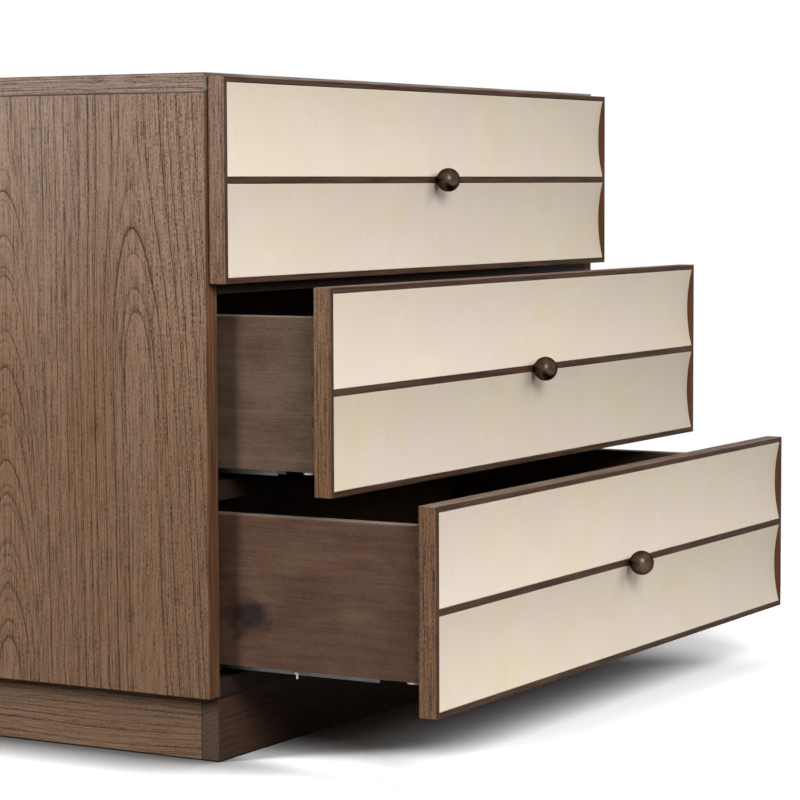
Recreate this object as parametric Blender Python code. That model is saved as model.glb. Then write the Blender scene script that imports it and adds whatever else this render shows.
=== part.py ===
"""Nightstand with three drawers on a recessed plinth.

Boarded wooden cabinet. Each drawer front is a thin dark frame around two long scooped panels, with a ball
knob on the middle rail. The drawer boxes are dovetailed and ride on runners that sit under their bottoms.
Metres, +Z up, fronts facing -Y. The origin is on the floor, under the middle of the object as it stands here,
with the top drawer closed and the two lower ones pulled out.
"""

import math

import bmesh
import bpy

# Cabinet
CABINET_WIDTH = 0.800
CABINET_DEPTH = 0.438
PANEL_THICKNESS = 0.018
BACK_THICKNESS = 0.006
BACK_REBATE = 0.009
DIVIDER_THICKNESS = 0.018
DIVIDER_DEPTH = 0.070
DIVIDER_HOUSING = 0.006
DIVIDER_SHOULDER = 0.012

# Plinth
PLINTH_HEIGHT = 0.0634
PLINTH_THICKNESS = 0.019
PLINTH_SIDE_INSET = 0.023
PLINTH_FRONT_INSET = 0.005
PLINTH_BACK_INSET = 0.012

# Drawer fronts
DRAWER_NAMES = ("top", "middle", "bottom")
DRAWER_PULLED = (0.0, 0.1127, 0.2211)
FRONT_THICKNESS = 0.0185
SIDE_REVEAL = 0.0035
TOP_REVEAL = 0.0035
BOTTOM_REVEAL = 0.0026
FRONT_GAP = 0.0015
SEAT_GAP = 0.001
FRAME_STILE = 0.0045
FRAME_RAIL = 0.00525
MIDDLE_RAIL = 0.006
MIDDLE_RAIL_DEPTH = 0.006
SCOOP_HEIGHT = 0.087
SCOOP_DEPTH = 0.0055
SCOOP_INSET = 0.0004
SCOOP_SKIN = 0.003
SCOOP_STEPS = 24

# Knob
KNOB_DIAMETER = 0.0245
KNOB_NECK_DIAMETER = 0.008
KNOB_NECK_LENGTH = 0.0009
KNOB_NECK_COVE = 0.0015
KNOB_STUD_DIAMETER = 0.004
KNOB_TURN_STEPS = 32
KNOB_ARC_STEPS = 16
KNOB_COVE_STEPS = 4
STUD_TURN_STEPS = 16

# Drawer boxes
BOX_BOARD = 0.015
BOX_SIDE_CLEARANCE = 0.006
BOX_RIM_CLEARANCE = 0.0124
BOX_BACK_CLEARANCE = 0.032
BOX_BOTTOM_THICKNESS = 0.006
BOX_BOTTOM_RECESS = 0.013
BOX_GROOVE = 0.006
BOX_RIM_ROUND = 0.002
DOVETAIL_PITCH = 0.024
DOVETAIL_PIN = 0.008
DOVETAIL_SLOPE = 1.0 / 7.0

# Runners
RUNNER_SPACE = 0.012
RUNNER_SHEET = 0.0015
RUNNER_PLAY = 0.0004
RUNNER_WIDTH = 0.016
RUNNER_SKIRT_CLEARANCE = 0.0039
RUNNER_FLANGE = 0.014
RUNNER_FRONT_CLEARANCE = 0.005
MIDDLE_MEMBER_SETBACK = 0.005
MIDDLE_MEMBER_END = 0.025
DRAWER_MEMBER_SETBACK = 0.062
DRAWER_MEMBER_END = 0.006

# Fits and arrises
JOINT_GAP = 0.0003
ARRIS = 0.0006
CUT_OVERRUN = 0.010

# Sizes that follow
FRONT_HEIGHT = 2 * FRAME_RAIL + 2 * SCOOP_HEIGHT + MIDDLE_RAIL
FRONT_WIDTH = CABINET_WIDTH - 2 * SIDE_REVEAL
FRONT_PITCH = FRONT_HEIGHT + FRONT_GAP
DRAWER_COUNT = len(DRAWER_NAMES)
FRONTS_HEIGHT = DRAWER_COUNT * FRONT_HEIGHT + (DRAWER_COUNT - 1) * FRONT_GAP
CARCASS_HEIGHT = BOTTOM_REVEAL + FRONTS_HEIGHT + TOP_REVEAL
CABINET_TOP = PLINTH_HEIGHT + CARCASS_HEIGHT
INNER_HALF = CABINET_WIDTH / 2 - PANEL_THICKNESS
FLOOR_TOP = PLINTH_HEIGHT + PANEL_THICKNESS
CEILING = CABINET_TOP - PANEL_THICKNESS
COVE_FROM_BALL = KNOB_DIAMETER / 2 + KNOB_NECK_COVE
COVE_FROM_AXIS = KNOB_NECK_DIAMETER / 2 + KNOB_NECK_COVE
KNOB_STANDOFF = KNOB_NECK_LENGTH + math.sqrt(COVE_FROM_BALL ** 2 - COVE_FROM_AXIS ** 2)
KNOB_REACH = KNOB_STANDOFF + KNOB_DIAMETER / 2
OVERALL_DEPTH = KNOB_REACH + FRONT_THICKNESS + SEAT_GAP + max(DRAWER_PULLED) + CABINET_DEPTH
CARCASS_BACK = OVERALL_DEPTH / 2
CARCASS_FRONT = CARCASS_BACK - CABINET_DEPTH
BOX_HALF = INNER_HALF - BOX_SIDE_CLEARANCE
BOX_LENGTH = CABINET_DEPTH - BACK_THICKNESS - BOX_BACK_CLEARANCE
RUNNER_START = CARCASS_FRONT + BOX_BOARD + RUNNER_FRONT_CLEARANCE
RUNNER_END = CARCASS_FRONT + BOX_LENGTH
BOX_FRONT_Y = FRONT_THICKNESS + JOINT_GAP
MIDDLE_RAIL_Z = FRAME_RAIL + SCOOP_HEIGHT + MIDDLE_RAIL / 2


def clear_scene():
    for item in list(bpy.data.objects):
        bpy.data.objects.remove(item, do_unlink=True)


def finish(name, colour, roughness, metallic=0.0):
    material = bpy.data.materials.new(name)
    material.use_nodes = True
    shader = material.node_tree.nodes["Principled BSDF"]
    shader.inputs["Base Color"].default_value = (*colour, 1.0)
    shader.inputs["Roughness"].default_value = roughness
    shader.inputs["Metallic"].default_value = metallic
    material.diffuse_color = (*colour, 1.0)
    return material


def holder(name, location, parent=None):
    empty = bpy.data.objects.new(name, None)
    empty.location = location
    empty.parent = parent
    bpy.context.scene.collection.objects.link(empty)
    return empty


def piece(name, shape, material, parent):
    """Turn a finished bmesh into a named object under its holder."""
    mesh = bpy.data.meshes.new(name)
    bmesh.ops.recalc_face_normals(shape, faces=shape.faces)
    shape.to_mesh(mesh)
    shape.free()
    if material:
        mesh.materials.append(material)
    item = bpy.data.objects.new(name, mesh)
    item.parent = parent
    bpy.context.scene.collection.objects.link(item)
    return item


def cutter(name, shape, parent):
    item = piece(name, shape, None, parent)
    item.hide_render = True
    item.display_type = "WIRE"
    return item


def cut(item, tool):
    change = item.modifiers.new(tool.name, "BOOLEAN")
    change.operation = "DIFFERENCE"
    change.solver = "EXACT"
    change.object = tool


def box(low, high):
    shape = bmesh.new()
    bmesh.ops.create_cube(shape, size=1.0)
    for vert in shape.verts:
        vert.co = [a + (part + 0.5) * (b - a) for a, b, part in zip(low, high, vert.co)]
    return shape


def prism(outline, axis, start, end):
    """Carry a closed outline from start to end. The outline gives YZ pairs for X, XZ for Y and XY for Z."""
    place = {
        "X": lambda a, b, along: (along, a, b),
        "Y": lambda a, b, along: (a, along, b),
        "Z": lambda a, b, along: (a, b, along),
    }[axis]
    shape = bmesh.new()
    face = shape.faces.new([shape.verts.new(place(a, b, start)) for a, b in outline])
    swept = bmesh.ops.extrude_face_region(shape, geom=[face])
    moved = [part for part in swept["geom"] if isinstance(part, bmesh.types.BMVert)]
    bmesh.ops.translate(shape, verts=moved, vec=place(0.0, 0.0, end - start))
    return shape


def ease(shape, width, steps=1, wanted=lambda edge: True):
    """Round or chamfer the edges that are wanted."""
    edges = [edge for edge in shape.edges if wanted(edge)]
    bmesh.ops.bevel(shape, geom=edges, offset=width, segments=steps, profile=0.5, affect="EDGES")
    return shape


def board(name, low, high, material, parent):
    return piece(name, ease(box(low, high), ARRIS), material, parent)


def joined(shapes):
    """Put several closed shapes into one bmesh, for a cutter with many teeth."""
    whole = bmesh.new()
    for shape in shapes:
        part = bpy.data.meshes.new("tooth")
        shape.to_mesh(part)
        shape.free()
        whole.from_mesh(part)
        bpy.data.meshes.remove(part)
    return whole


def turned(profile, steps):
    """Spin a profile of radius and depth pairs round the Y axis."""
    shape = bmesh.new()
    verts = [shape.verts.new((radius, depth, 0.0)) for radius, depth in profile]
    edges = [shape.edges.new(pair) for pair in zip(verts, verts[1:])]
    bmesh.ops.spin(shape, geom=verts + edges, cent=(0, 0, 0), axis=(0, 1, 0), angle=math.tau, steps=steps)
    bmesh.ops.remove_doubles(shape, verts=shape.verts, dist=JOINT_GAP / 10)
    return shape


def smooth(item, angle):
    item.data.shade_smooth()
    item.data.set_sharp_from_angle(angle=angle)


def front_bottom(index):
    """Height of the lower edge of a drawer front, counted from the top drawer down."""
    return PLINTH_HEIGHT + BOTTOM_REVEAL + (DRAWER_COUNT - 1 - index) * FRONT_PITCH


def divider_middle(index):
    """Height of the middle of the divider rail under a drawer front."""
    return front_bottom(index) - FRONT_GAP / 2


def bay(index):
    """Lower and upper limits of the space that a drawer box runs in."""
    low = FLOOR_TOP if index == DRAWER_COUNT - 1 else divider_middle(index) + DIVIDER_THICKNESS / 2
    high = CEILING if index == 0 else divider_middle(index - 1) - DIVIDER_THICKNESS / 2
    return low, high


def box_bottom(index):
    return bay(index)[0] + RUNNER_SPACE


def box_height():
    """One height for all the boxes, from the lowest bay."""
    lowest_bay = min(high - low for low, high in map(bay, range(DRAWER_COUNT)))
    return lowest_bay - RUNNER_SPACE - BOX_RIM_CLEARANCE


def drawer_front_y(index):
    return CARCASS_FRONT - SEAT_GAP - FRONT_THICKNESS - DRAWER_PULLED[index]


def rebate_tool(parent):
    """The space that the back panel takes out of the sides, top and bottom."""
    reach = INNER_HALF + BACK_REBATE
    low = (-reach, CARCASS_BACK - BACK_THICKNESS - 2 * JOINT_GAP, FLOOR_TOP - BACK_REBATE)
    high = (reach, CARCASS_BACK + CUT_OVERRUN, CEILING + BACK_REBATE)
    return cutter("back_rebate_space", box(low, high), parent)


def divider_outline(growth):
    """Plan of a divider rail. Its ends are housed in the sides behind a plain shoulder at the front."""
    inner = INNER_HALF - JOINT_GAP + growth
    outer = INNER_HALF + DIVIDER_HOUSING - JOINT_GAP + growth
    front = CARCASS_FRONT
    shoulder = CARCASS_FRONT + DIVIDER_SHOULDER - growth
    back = CARCASS_FRONT + DIVIDER_DEPTH + growth
    right = [(inner, front), (inner, shoulder), (outer, shoulder), (outer, back)]
    return right + [(-x, y) for x, y in reversed(right)]


def build_cabinet(wood, back_wood):
    parent = holder("cabinet", (0, 0, 0))
    half = CABINET_WIDTH / 2
    sides = []
    for name, sign in (("left", -1), ("right", 1)):
        across = sorted((sign * INNER_HALF, sign * half))
        low = (across[0], CARCASS_FRONT, PLINTH_HEIGHT)
        high = (across[1], CARCASS_BACK, CEILING - JOINT_GAP)
        sides.append(board(f"{name}_side", low, high, wood, parent))
    top = board("top_board", (-half, CARCASS_FRONT, CEILING), (half, CARCASS_BACK, CABINET_TOP), wood, parent)
    span = INNER_HALF - JOINT_GAP
    floor_low = (-span, CARCASS_FRONT, PLINTH_HEIGHT)
    floor = board("bottom_board", floor_low, (span, CARCASS_BACK, FLOOR_TOP), wood, parent)

    rebate = rebate_tool(parent)
    for item in (*sides, top, floor):
        cut(item, rebate)
    reach = INNER_HALF + BACK_REBATE - JOINT_GAP
    back_low = (-reach, CARCASS_BACK - BACK_THICKNESS - JOINT_GAP, FLOOR_TOP - BACK_REBATE + JOINT_GAP)
    back_high = (reach, CARCASS_BACK - JOINT_GAP, CEILING + BACK_REBATE - JOINT_GAP)
    piece("back_panel", box(back_low, back_high), back_wood, parent)

    for name, index in (("upper", 0), ("lower", 1)):
        middle = divider_middle(index)
        low, high = middle - DIVIDER_THICKNESS / 2, middle + DIVIDER_THICKNESS / 2
        piece(f"{name}_divider_rail", prism(divider_outline(0.0), "Z", low, high), wood, parent)
        space = prism(divider_outline(JOINT_GAP), "Z", low - JOINT_GAP, high + JOINT_GAP)
        housing = cutter(f"{name}_divider_housing", space, parent)
        for side in sides:
            cut(side, housing)
    return parent


def build_plinth(wood, parent):
    half = CABINET_WIDTH / 2 - PLINTH_SIDE_INSET
    front = CARCASS_FRONT + PLINTH_FRONT_INSET
    back = CARCASS_BACK - PLINTH_BACK_INSET
    top = PLINTH_HEIGHT - JOINT_GAP
    board("plinth_front", (-half, front, 0), (half, front + PLINTH_THICKNESS, top), wood, parent)
    board("plinth_back", (-half, back - PLINTH_THICKNESS, 0), (half, back, top), wood, parent)
    between = (front + PLINTH_THICKNESS + JOINT_GAP, back - PLINTH_THICKNESS - JOINT_GAP)
    for name, sign in (("left", -1), ("right", 1)):
        across = sorted((sign * half, sign * (half - PLINTH_THICKNESS)))
        board(f"plinth_{name}", (across[0], between[0], 0), (across[1], between[1], top), wood, parent)


def scoop_radius():
    half = SCOOP_HEIGHT / 2
    return (half ** 2 + SCOOP_DEPTH ** 2) / (2 * SCOOP_DEPTH)


def scoop_curve(middle, behind, trim):
    """Points of a scoop from its lower to its upper edge, set back by a distance behind the cream face."""
    radius = scoop_radius()
    centre = SCOOP_INSET + SCOOP_DEPTH - radius
    half = SCOOP_HEIGHT / 2 - trim
    heights = [half * (2 * step / SCOOP_STEPS - 1) for step in range(SCOOP_STEPS + 1)]
    return [(centre + math.sqrt((radius + behind) ** 2 - z ** 2), middle + z) for z in heights]


def scoop_middles():
    lower = FRAME_RAIL + SCOOP_HEIGHT / 2
    return {"lower": lower, "upper": lower + SCOOP_HEIGHT + MIDDLE_RAIL}


def build_front(name, woods, parent):
    """Frame, board behind it, two scooped panels and the knob, with the front face at local Y 0."""
    half = FRONT_WIDTH / 2
    inner = half - FRAME_STILE
    frame_shape = ease(box((-half, 0, 0), (half, FRONT_THICKNESS, FRONT_HEIGHT)), ARRIS)
    frame = piece(f"{name}_front_frame", frame_shape, woods["frame"], parent)
    for level, middle in scoop_middles().items():
        low = (-inner, -CUT_OVERRUN, middle - SCOOP_HEIGHT / 2)
        high = (inner, FRONT_THICKNESS + CUT_OVERRUN, middle + SCOOP_HEIGHT / 2)
        cut(frame, cutter(f"{name}_{level}_window", box(low, high), parent))
    low = (-inner, MIDDLE_RAIL_DEPTH, FRAME_RAIL)
    high = (inner, FRONT_THICKNESS + CUT_OVERRUN, FRONT_HEIGHT - FRAME_RAIL)
    cut(frame, cutter(f"{name}_board_space", box(low, high), parent))

    reach = inner - JOINT_GAP
    bed = SCOOP_SKIN + JOINT_GAP
    curves = {level: scoop_curve(middle, bed, 0.0) for level, middle in scoop_middles().items()}
    land = MIDDLE_RAIL_DEPTH + JOINT_GAP
    bottom, top = FRAME_RAIL + JOINT_GAP, FRONT_HEIGHT - FRAME_RAIL - JOINT_GAP
    rail_low = MIDDLE_RAIL_Z - MIDDLE_RAIL / 2 - JOINT_GAP
    rail_high = MIDDLE_RAIL_Z + MIDDLE_RAIL / 2 + JOINT_GAP
    lower = [point for point in curves["lower"] if bottom < point[1] < rail_low]
    upper = [point for point in curves["upper"] if rail_high < point[1] < top]
    outline = [(FRONT_THICKNESS, bottom), (lower[0][0], bottom), *lower]
    outline += [(lower[-1][0], rail_low), (land, rail_low), (land, rail_high), (upper[0][0], rail_high)]
    outline += [*upper, (upper[-1][0], top), (FRONT_THICKNESS, top)]
    core = piece(f"{name}_front_board", prism(outline, "X", -reach, reach), woods["core"], parent)

    for level, middle in scoop_middles().items():
        face = scoop_curve(middle, 0.0, JOINT_GAP)
        rear = scoop_curve(middle, SCOOP_SKIN, JOINT_GAP)
        shape = prism(face + rear[::-1], "X", -reach, reach)
        smooth(piece(f"{name}_{level}_panel", shape, woods["cream"], parent), math.radians(30))

    build_knob(name, woods["bronze"], parent)
    return frame, core


def build_knob(name, bronze, parent):
    """Ball coved into a short neck, with a stud that runs through the front and the box front behind it."""
    ball = KNOB_DIAMETER / 2
    neck = KNOB_NECK_DIAMETER / 2
    stud = KNOB_STUD_DIAMETER / 2
    stud_end = BOX_FRONT_Y + BOX_BOARD
    turn = math.acos(COVE_FROM_AXIS / COVE_FROM_BALL)
    meets = math.pi / 2 + turn
    angles = [meets * step / KNOB_ARC_STEPS for step in range(KNOB_ARC_STEPS + 1)]
    profile = [(ball * math.sin(a), -KNOB_STANDOFF - ball * math.cos(a)) for a in angles]
    profile[0] = (0.0, -KNOB_REACH)
    for step in range(1, KNOB_COVE_STEPS + 1):
        angle = turn * (1 - step / KNOB_COVE_STEPS)
        radius = COVE_FROM_AXIS - KNOB_NECK_COVE * math.cos(angle)
        profile.append((radius, -KNOB_NECK_LENGTH - KNOB_NECK_COVE * math.sin(angle)))
    profile += [(neck, -JOINT_GAP), (stud, -JOINT_GAP), (stud, stud_end), (0.0, stud_end)]
    knob = piece(f"{name}_knob", turned(profile, KNOB_TURN_STEPS), bronze, parent)
    knob.location = (0, 0, MIDDLE_RAIL_Z)
    smooth(knob, math.radians(35))


def stud_tool(name, parent):
    """The hole that the knob's stud passes through."""
    radius = KNOB_STUD_DIAMETER / 2 + JOINT_GAP
    shape = bmesh.new()
    length = FRONT_THICKNESS + BOX_BOARD + 4 * CUT_OVERRUN
    bmesh.ops.create_cone(
        shape, cap_ends=True, segments=STUD_TURN_STEPS, radius1=radius, radius2=radius, depth=length
    )
    tool = cutter(f"{name}_stud_hole", shape, parent)
    tool.location = (0, FRONT_THICKNESS, MIDDLE_RAIL_Z)
    tool.rotation_euler = (math.pi / 2, 0, 0)
    return tool


def tails(low, high):
    """Lower and upper limits of each dovetail's wide end, between two heights."""
    count = max(2, round((high - low) / DOVETAIL_PITCH))
    pitch = (high - low) / count
    half = (pitch - DOVETAIL_PIN) / 2
    middles = [low + (step + 0.5) * pitch for step in range(count)]
    return [(middle - half, middle + half) for middle in middles]


def tail_points(limits, end, root, growth):
    """Corners of one dovetail in YZ, wide at its end and narrow at its root, grown all round by a gap."""
    taper = BOX_BOARD * DOVETAIL_SLOPE
    low, high = limits[0] - growth, limits[1] + growth
    return [(root, low + taper), (end, low), (end, high), (root, high - taper)]


def build_box(name, index, woods, parent):
    """Dovetailed drawer box under its holder, with the bottom in a groove and running under the back."""
    lift = box_bottom(index) - front_bottom(index)
    rim = lift + box_height()
    start, end = BOX_FRONT_Y, BOX_FRONT_Y + BOX_LENGTH
    inner = BOX_HALF - BOX_BOARD
    panel_low = lift + BOX_BOTTOM_RECESS
    panel_high = panel_low + BOX_BOTTOM_THICKNESS
    back_low = panel_high + JOINT_GAP
    joints = {
        "front": (start, start + BOX_BOARD, tails(lift, rim)),
        "back": (end, end - BOX_BOARD, tails(back_low, rim)),
    }

    outline = [(joints["front"][1], lift)]
    for limits in joints["front"][2]:
        outline += tail_points(limits, start, joints["front"][1], 0.0)
    outline += [(joints["front"][1], rim), (joints["back"][1], rim)]
    for limits in reversed(joints["back"][2]):
        outline += tail_points(limits, end, joints["back"][1], 0.0)[::-1]
    outline += [(joints["back"][1], back_low - JOINT_GAP), (end, back_low - JOINT_GAP), (end, lift)]

    def on_rim(edge):
        level = all(abs(vert.co.z - rim) < JOINT_GAP for vert in edge.verts)
        return level and abs(edge.verts[0].co.y - edge.verts[1].co.y) > BOX_BOARD

    def on_long_rim(edge):
        level = all(abs(vert.co.z - rim) < JOINT_GAP for vert in edge.verts)
        return level and abs(edge.verts[0].co.x - edge.verts[1].co.x) > BOX_BOARD

    boards = []
    for side, sign in (("left", -1), ("right", 1)):
        across = sorted((sign * inner, sign * BOX_HALF))
        shape = ease(prism(outline, "X", *across), BOX_RIM_ROUND, 2, on_rim)
        boards.append(piece(f"{name}_box_{side}", shape, woods["box"], parent))

    for place, (outer, shoulder, limits) in joints.items():
        along = sorted((outer, shoulder))
        bottom = lift if place == "front" else back_low
        shape = box((-BOX_HALF, along[0], bottom), (BOX_HALF, along[1], rim))
        ease(shape, BOX_RIM_ROUND, 2, on_long_rim)
        crosspiece = piece(f"{name}_box_{place}", shape, woods["box"], parent)
        outward = math.copysign(CUT_OVERRUN, outer - shoulder)
        inward = math.copysign(JOINT_GAP, shoulder - outer)
        slope = CUT_OVERRUN * DOVETAIL_SLOPE
        teeth = []
        for low, high in limits:
            corners = tail_points((low, high), outer, shoulder + inward, JOINT_GAP)
            wide = [(outer + outward, low - JOINT_GAP - slope), (outer + outward, high + JOINT_GAP + slope)]
            corners[1:3] = wide
            for sign in (-1, 1):
                across = sorted((sign * (inner - JOINT_GAP), sign * (BOX_HALF + CUT_OVERRUN)))
                teeth.append(prism(corners, "X", *across))
        cut(crosspiece, cutter(f"{name}_{place}_tails", joined(teeth), parent))
        boards.append(crosspiece)

    reach = inner + BOX_GROOVE - JOINT_GAP
    front_edge = joints["front"][1] - BOX_GROOVE + JOINT_GAP
    bottom_low, bottom_high = (-reach, front_edge, panel_low), (reach, end, panel_high)
    piece(f"{name}_box_bottom", box(bottom_low, bottom_high), woods["bottom"], parent)
    space_low = [value - JOINT_GAP for value in bottom_low]
    space_high = [value + JOINT_GAP for value in bottom_high]
    groove = cutter(f"{name}_bottom_groove", box(space_low, space_high), parent)
    for item in boards[:3]:
        cut(item, groove)
    return boards[2]


def channel(left, right, low, high):
    """Outline of a bent sheet channel, open below."""
    sheet = RUNNER_SHEET
    return [
        (left, low), (left, high), (right, high), (right, low),
        (right - sheet, low), (right - sheet, high - sheet),
        (left + sheet, high - sheet), (left + sheet, low),
    ]


def runner_outlines():
    """Outlines of the three members: distance from the cabinet side, height above the box's lower edge."""
    step = RUNNER_SHEET + RUNNER_PLAY
    low = JOINT_GAP - RUNNER_SPACE
    plate = low + RUNNER_SHEET
    skirt = plate + RUNNER_SKIRT_CLEARANCE
    left = BOX_SIDE_CLEARANCE + BOX_BOARD + JOINT_GAP
    right = left + RUNNER_WIDTH
    top = BOX_BOTTOM_RECESS - JOINT_GAP
    drawer = channel(left, right, skirt, top)
    middle = channel(left + step, right - step, skirt, top - step)
    rib_left, rib_right, rib_top = left + 2 * step, right - 2 * step, top - 2 * step
    wall, flange = JOINT_GAP, JOINT_GAP + RUNNER_SHEET
    rib = channel(rib_left, rib_right, low, rib_top)
    angle = [(wall, low), (wall, RUNNER_FLANGE), (flange, RUNNER_FLANGE), (flange, plate), (rib_left, plate)]
    return angle + rib[1:], middle, drawer


def set_in(outline, sign, rise):
    """Place a runner's outline on the left or right side of the cabinet, at a height."""
    return [(sign * (INNER_HALF - inward), height + rise) for inward, height in outline]


def build_runners(name, index, steel, cabinet, drawer):
    """Runners at left and right: a cabinet member, a middle one travelling half as far, a drawer member."""
    level = box_bottom(index)
    travelling = holder(f"{name}_runner", (0, RUNNER_START - DRAWER_PULLED[index] / 2, level), cabinet)
    fixed, middle, moving = runner_outlines()
    middle_end = RUNNER_END - RUNNER_START - MIDDLE_MEMBER_END
    lift = level - front_bottom(index)
    drawer_start = FRONT_THICKNESS + DRAWER_MEMBER_SETBACK
    drawer_end = BOX_FRONT_Y + BOX_LENGTH - DRAWER_MEMBER_END
    for side, sign in (("left", -1), ("right", 1)):
        shape = prism(set_in(fixed, sign, level), "Y", RUNNER_START, RUNNER_END)
        piece(f"{name}_runner_{side}_cabinet_member", shape, steel, cabinet)
        shape = prism(set_in(middle, sign, 0.0), "Y", MIDDLE_MEMBER_SETBACK, middle_end)
        piece(f"{name}_runner_{side}_middle_member", shape, steel, travelling)
        shape = prism(set_in(moving, sign, lift), "Y", drawer_start, drawer_end)
        piece(f"{name}_runner_{side}_drawer_member", shape, steel, drawer)


def build_drawer(index, woods, steel, cabinet):
    name = f"{DRAWER_NAMES[index]}_drawer"
    drawer = holder(name, (0, drawer_front_y(index), front_bottom(index)), cabinet)
    frame, core = build_front(name, woods, drawer)
    box_front = build_box(name, index, woods, drawer)
    hole = stud_tool(name, drawer)
    for item in (frame, core, box_front):
        cut(item, hole)
    build_runners(name, index, steel, cabinet, drawer)


def main():
    clear_scene()
    cabinet_wood = finish("brown_wood", (0.205, 0.130, 0.085), 0.55)
    back_wood = finish("back_plywood", (0.150, 0.100, 0.070), 0.65)
    steel = finish("zinc_steel", (0.480, 0.490, 0.510), 0.35, 1.0)
    woods = {
        "frame": finish("frame_wood", (0.085, 0.046, 0.028), 0.5),
        "core": finish("front_core_wood", (0.190, 0.120, 0.080), 0.6),
        "cream": finish("cream_parchment", (0.740, 0.640, 0.510), 0.55),
        "bronze": finish("dark_bronze", (0.100, 0.072, 0.050), 0.4, 0.9),
        "box": finish("box_wood", (0.130, 0.085, 0.060), 0.55),
        "bottom": finish("box_bottom_plywood", (0.150, 0.100, 0.070), 0.6),
    }
    cabinet = build_cabinet(cabinet_wood, back_wood)
    build_plinth(cabinet_wood, cabinet)
    for index in range(DRAWER_COUNT):
        build_drawer(index, woods, steel, cabinet)


main()
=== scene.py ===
"""Looks of the nightstand: veneers, parchment panels, bronze knobs and runner fittings on the fixed frame.

Metres, +Z up, fronts facing -Y. Each finish is a node material on object coordinates, and each fitting is a
plain mesh at the origin that rides on the body it is fixed to.
"""

import math

import bmesh
import bpy
from mathutils import Matrix, Vector


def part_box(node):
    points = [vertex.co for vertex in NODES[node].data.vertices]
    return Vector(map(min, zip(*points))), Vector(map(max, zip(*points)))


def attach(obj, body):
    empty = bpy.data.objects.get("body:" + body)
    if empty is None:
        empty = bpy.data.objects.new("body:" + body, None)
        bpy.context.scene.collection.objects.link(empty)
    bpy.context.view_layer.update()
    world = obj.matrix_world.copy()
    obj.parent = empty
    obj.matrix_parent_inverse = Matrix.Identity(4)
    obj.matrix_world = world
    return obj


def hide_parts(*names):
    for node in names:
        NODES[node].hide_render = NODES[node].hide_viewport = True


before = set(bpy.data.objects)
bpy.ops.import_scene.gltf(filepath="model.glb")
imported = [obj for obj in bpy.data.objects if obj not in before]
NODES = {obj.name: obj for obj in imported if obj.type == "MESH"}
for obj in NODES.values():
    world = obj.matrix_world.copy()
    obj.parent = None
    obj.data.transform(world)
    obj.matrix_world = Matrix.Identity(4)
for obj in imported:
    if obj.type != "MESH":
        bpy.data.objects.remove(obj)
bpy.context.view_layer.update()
DRAWERS = ("top", "middle", "bottom")
HALVES = ("upper", "lower")
SIDES = (("left", -1), ("right", 1))
MEMBERS = ("cabinet_member", "middle_member", "drawer_member")

# Camera
CAMERA_PLACE = (-2.58051, -1.55264, 0.54194)
CAMERA_TURN = math.radians(59.958)
CAMERA_TILT = math.radians(-4.3477)
CAMERA_ROLL = math.radians(-0.2054)
CAMERA_LENS = 128.2862
CAMERA_SENSOR = 36.0

# Light
WHITE = (1.0, 1.0, 1.0, 1.0)
SKY_LOW = 0.010
SKY_HIGH = 0.10
FLOOR_SEEN = 1.8
FLOOR_SEEN_LEFT = 1.3
FLOOR_BOUNCE = 0.10
FLOOR_FADE = (1.1, 1.7)
FLOOR_SIZE = 12.0
# The floor's colour darkens with ambient occlusion near the object: painted contact shadow, deepest beside
# the plinth's left side
CONTACT_SHADOW_REACH = 0.11
CONTACT_SHADOW_DEPTH = 0.7
CONTACT_SHADOW_DEPTH_LEFT = 2.3
CONTACT_SHADOW_SAMPLES = 16
CONTACT_SHADOW_CHANGE = (-0.01, 0.04)
SKY_RISE = (-0.1, 0.9)
# Each lamp: its place, what it points at, its width and height, its power, and whether only gloss shows it
LAMPS = {
    "key": ((-1.64, -2.10, 1.62), (-0.05, -0.20, 0.40), (1.1, 1.1), 57.0, False),
    "glint": ((-1.94, -1.54, 1.56), (0.00, -0.15, 0.40), (0.80, 1.40), 38.0, True),
    "fill": ((0.60, -2.50, 1.55), (0.00, -0.20, 0.35), (2.2, 1.6), 33.0, False),
    "left": ((-2.00, 1.27, 1.01), (-0.40, 0.05, 0.35), (0.6, 0.8), 53.0, False),
    "above": ((-0.10, -0.20, 2.60), (-0.10, -0.20, 0.30), (1.4, 1.4), 8.0, False),
    "behind": ((-0.20, 2.60, 1.30), (0.00, 0.30, 0.35), (0.8, 0.8), 24.0, False),
}

# Gloss, roughness and depth of the relief
WOOD_GLOSS = 0.06
SATIN_GLOSS = 0.2
METAL_GLOSS = 0.5
ZINC_METAL = 0.35
WOOD_ROUGH = 0.52
BUMP_STRENGTH = 0.5
VENEER_RELIEF = 0.0003
PLAIN_WOOD_RELIEF = 0.0002
PARCHMENT_RELIEF = 0.00015
ZINC_RELIEF = 0.00005
BRONZE_RELIEF = 0.000004

# How far a surface turns to a side before it takes that side's finish
EDGE_TURN = (0.5, 0.8)
END_TURN = (0.6, 0.8)
INNER_TURN = (0.1, 0.3)
# Turn of the upward faces that take painted light
TOP_LIGHT_TURN = (0.3, 0.9)

# Where a finish changes: above the painted shadow line at the floor, and from a front's rails to its stiles
PAINTED_FLOOR_SHADOW_RISE = (0.0006, 0.0022)
STILE_CHANGE = 0.0005

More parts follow.
